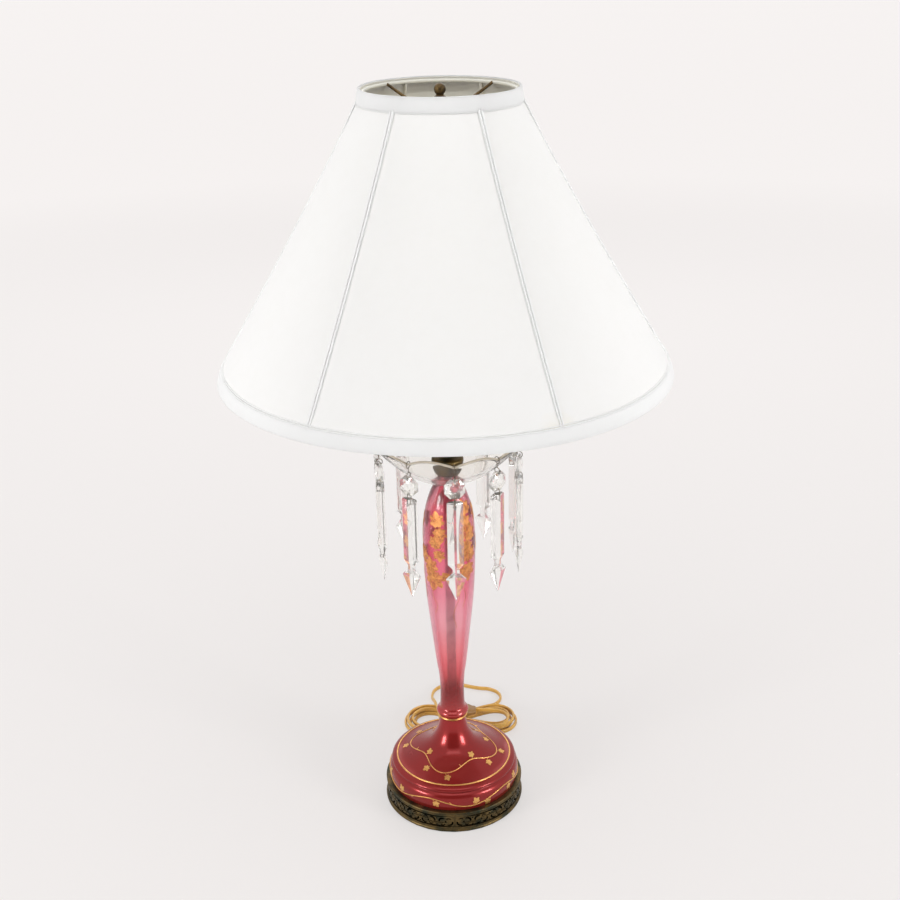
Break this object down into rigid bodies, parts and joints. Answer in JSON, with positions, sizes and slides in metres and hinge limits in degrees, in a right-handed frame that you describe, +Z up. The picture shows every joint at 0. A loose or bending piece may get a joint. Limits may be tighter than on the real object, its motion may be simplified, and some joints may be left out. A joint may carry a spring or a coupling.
{
  "type": "art glass table lamp",
  "caption": "Table lamp with a ruby glass stem and foot, a pierced brass base, a clear glass dish hung with spear prisms, and a tapered fabric shade on a harp.",
  "frame": {"origin": "on the table, under the middle of the base", "axes": "+Z up along the rod; front towards -Y; the harp's bow lies in the X-Z plane"},
  "size_m": [0.4494, 0.4494, 0.7825],
  "materials": {
    "felt": "felt",
    "antique_brass": "antique, satin",
    "steel": "zinc plated",
    "iron": "painted",
    "brass": "satin",
    "ruby_glass": "polished, with gilt vines",
    "clear_glass": "polished",
    "card": "matt fibre",
    "bakelite": "gloss",
    "bulb_glass": "frosted",
    "shade_fabric": "plain weave on a stiff lining",
    "cord_plastic": "translucent gold",
    "plug_plastic": "satin"
  },
  "bodies": {
    "lamp": {"felt_pad": "felt", "base_gallery": "antique_brass", "base_plate": "steel", "base_weight": "iron", "rod_nut": "brass", "threaded_rod": "steel", "glass_foot": "ruby_glass", "glass_stem": "ruby_glass", "bobeche_dish": "clear_glass", "brass_cup": "antique_brass", "harp_saddle": "brass", "harp": "brass", "socket_cap": "brass", "socket_shell": "brass", "socket_liner": "card", "bulb_base": "steel", "bulb_globe": "bulb_glass", "cord_relief": "cord_plastic", "cord_lead": "cord_plastic", "cord_hank": "cord_plastic", "cord_plug": "plug_plastic"},
    "shade": {"shade_spider": "antique_brass", "shade_cage": "antique_brass", "shade_cover": "shade_fabric", "shade_top_band": "shade_fabric", "shade_bottom_band": "shade_fabric"},
    "finial": {"finial": "antique_brass"},
    "switch": {"switch_knob": "bakelite"},
    "sleeve_left": {"harp_sleeve_left": "brass"},
    "sleeve_right": {"harp_sleeve_right": "brass"},
    "bead_01": {"hook_01": "brass", "bead_01": "clear_glass"},
    "prism_01": {"prism_01": "clear_glass"},
    "bead_02": {"hook_02": "brass", "bead_02": "clear_glass"},
    "prism_02": {"prism_02": "clear_glass"},
    "bead_03": {"hook_03": "brass", "bead_03": "clear_glass"},
    "prism_03": {"prism_03": "clear_glass"},
    "bead_04": {"hook_04": "brass", "bead_04": "clear_glass"},
    "prism_04": {"prism_04": "clear_glass"},
    "bead_05": {"hook_05": "brass", "bead_05": "clear_glass"},
    "prism_05": {"prism_05": "clear_glass"},
    "bead_06": {"hook_06": "brass", "bead_06": "clear_glass"},
    "prism_06": {"prism_06": "clear_glass"},
    "bead_07": {"hook_07": "brass", "bead_07": "clear_glass"},
    "prism_07": {"prism_07": "clear_glass"},
    "bead_08": {"hook_08": "brass", "bead_08": "clear_glass"},
    "prism_08": {"prism_08": "clear_glass"},
    "bead_09": {"hook_09": "brass", "bead_09": "clear_glass"},
    "prism_09": {"prism_09": "clear_glass"},
    "bead_10": {"hook_10": "brass", "bead_10": "clear_glass"},
    "prism_10": {"prism_10": "clear_glass"}
  },
  "joints": [
    {"name": "shade_turn", "type": "hinge", "parent": "lamp", "child": "shade", "pos_m": [0, 0, 0.7554], "axis": [0, 0, 1], "continuous": true},
    {"name": "finial_turn", "type": "hinge", "parent": "lamp", "child": "finial", "pos_m": [0, 0, 0.7575], "axis": [0, 0, 1], "continuous": true},
    {"name": "switch_turn", "type": "hinge", "parent": "lamp", "child": "switch", "pos_m": [0, -0.019, 0.4795], "axis": [0, -1, 0], "continuous": true},
    {"name": "sleeve_left_lift", "type": "slide", "parent": "lamp", "child": "sleeve_left", "axis": [0, 0, 1], "range_m": [0, 0.014]},
    {"name": "sleeve_right_lift", "type": "slide", "parent": "lamp", "child": "sleeve_right", "axis": [0, 0, 1], "range_m": [0, 0.014]},
    {"name": "chain_01_swing", "type": "hinge", "parent": "lamp", "child": "bead_01", "pos_m": [0.00645, -0.07372, 0.4318], "axis": [-0.9962, -0.0872, 0], "range_deg": [-15, 60]},
    {"name": "prism_01_swing", "type": "hinge", "parent": "bead_01", "child": "prism_01", "pos_m": [0.00645, -0.07372, 0.4017], "axis": [0.0872, -0.9962, 0], "range_deg": [-12, 12]},
    {"name": "chain_02_swing", "type": "hinge", "parent": "lamp", "child": "bead_02", "pos_m": [0.04855, -0.05585, 0.4318], "axis": [-0.7547, -0.6561, 0], "range_deg": [-15, 60]},
    {"name": "prism_02_swing", "type": "hinge", "parent": "bead_02", "child": "prism_02", "pos_m": [0.04855, -0.05585, 0.4017], "axis": [0.6561, -0.7547, 0], "range_deg": [-12, 12]},
    {"name": "chain_03_swing", "type": "hinge", "parent": "lamp", "child": "bead_03", "pos_m": [0.0721, -0.01665, 0.4318], "axis": [-0.225, -0.9744, 0], "range_deg": [-15, 60]},
    {"name": "prism_03_swing", "type": "hinge", "parent": "bead_03", "child": "prism_03", "pos_m": [0.0721, -0.01665, 0.4017], "axis": [0.9744, -0.225, 0], "range_deg": [-12, 12]},
    {"name": "chain_04_swing", "type": "hinge", "parent": "lamp", "child": "bead_04", "pos_m": [0.06812, 0.02891, 0.4318], "axis": [0.3907, -0.9205, 0], "range_deg": [-15, 60]},
    {"name": "prism_04_swing", "type": "hinge", "parent": "bead_04", "child": "prism_04", "pos_m": [0.06812, 0.02891, 0.4017], "axis": [0.9205, 0.3907, 0], "range_deg": [-12, 12]},
    {"name": "chain_05_swing", "type": "hinge", "parent": "lamp", "child": "bead_05", "pos_m": [0.03811, 0.06343, 0.4318], "axis": [0.8572, -0.515, 0], "range_deg": [-15, 60]},
    {"name": "prism_05_swing", "type": "hinge", "parent": "bead_05", "child": "prism_05", "pos_m": [0.03811, 0.06343, 0.4017], "axis": [0.515, 0.8572, 0], "range_deg": [-12, 12]},
    {"name": "chain_06_swing", "type": "hinge", "parent": "lamp", "child": "bead_06", "pos_m": [-0.00645, 0.07372, 0.4318], "axis": [0.9962, 0.0872, 0], "range_deg": [-15, 60]},
    {"name": "prism_06_swing", "type": "hinge", "parent": "bead_06", "child": "prism_06", "pos_m": [-0.00645, 0.07372, 0.4017], "axis": [-0.0872, 0.9962, 0], "range_deg": [-12, 12]},
    {"name": "chain_07_swing", "type": "hinge", "parent": "lamp", "child": "bead_07", "pos_m": [-0.04855, 0.05585, 0.4318], "axis": [0.7547, 0.6561, 0], "range_deg": [-15, 60]},
    {"name": "prism_07_swing", "type": "hinge", "parent": "bead_07", "child": "prism_07", "pos_m": [-0.04855, 0.05585, 0.4017], "axis": [-0.6561, 0.7547, 0], "range_deg": [-12, 12]},
    {"name": "chain_08_swing", "type": "hinge", "parent": "lamp", "child": "bead_08", "pos_m": [-0.0721, 0.01665, 0.4318], "axis": [0.225, 0.9744, 0], "range_deg": [-15, 60]},
    {"name": "prism_08_swing", "type": "hinge", "parent": "bead_08", "child": "prism_08", "pos_m": [-0.0721, 0.01665, 0.4017], "axis": [-0.9744, 0.225, 0], "range_deg": [-12, 12]},
    {"name": "chain_09_swing", "type": "hinge", "parent": "lamp", "child": "bead_09", "pos_m": [-0.06812, -0.02891, 0.4318], "axis": [-0.3907, 0.9205, 0], "range_deg": [-15, 60]},
    {"name": "prism_09_swing", "type": "hinge", "parent": "bead_09", "child": "prism_09", "pos_m": [-0.06812, -0.02891, 0.4017], "axis": [-0.9205, -0.3907, 0], "range_deg": [-12, 12]},
    {"name": "chain_10_swing", "type": "hinge", "parent": "lamp", "child": "bead_10", "pos_m": [-0.03811, -0.06343, 0.4318], "axis": [-0.8572, 0.515, 0], "range_deg": [-15, 60]},
    {"name": "prism_10_swing", "type": "hinge", "parent": "bead_10", "child": "prism_10", "pos_m": [-0.03811, -0.06343, 0.4017], "axis": [-0.515, -0.8572, 0], "range_deg": [-12, 12]}
  ]
}
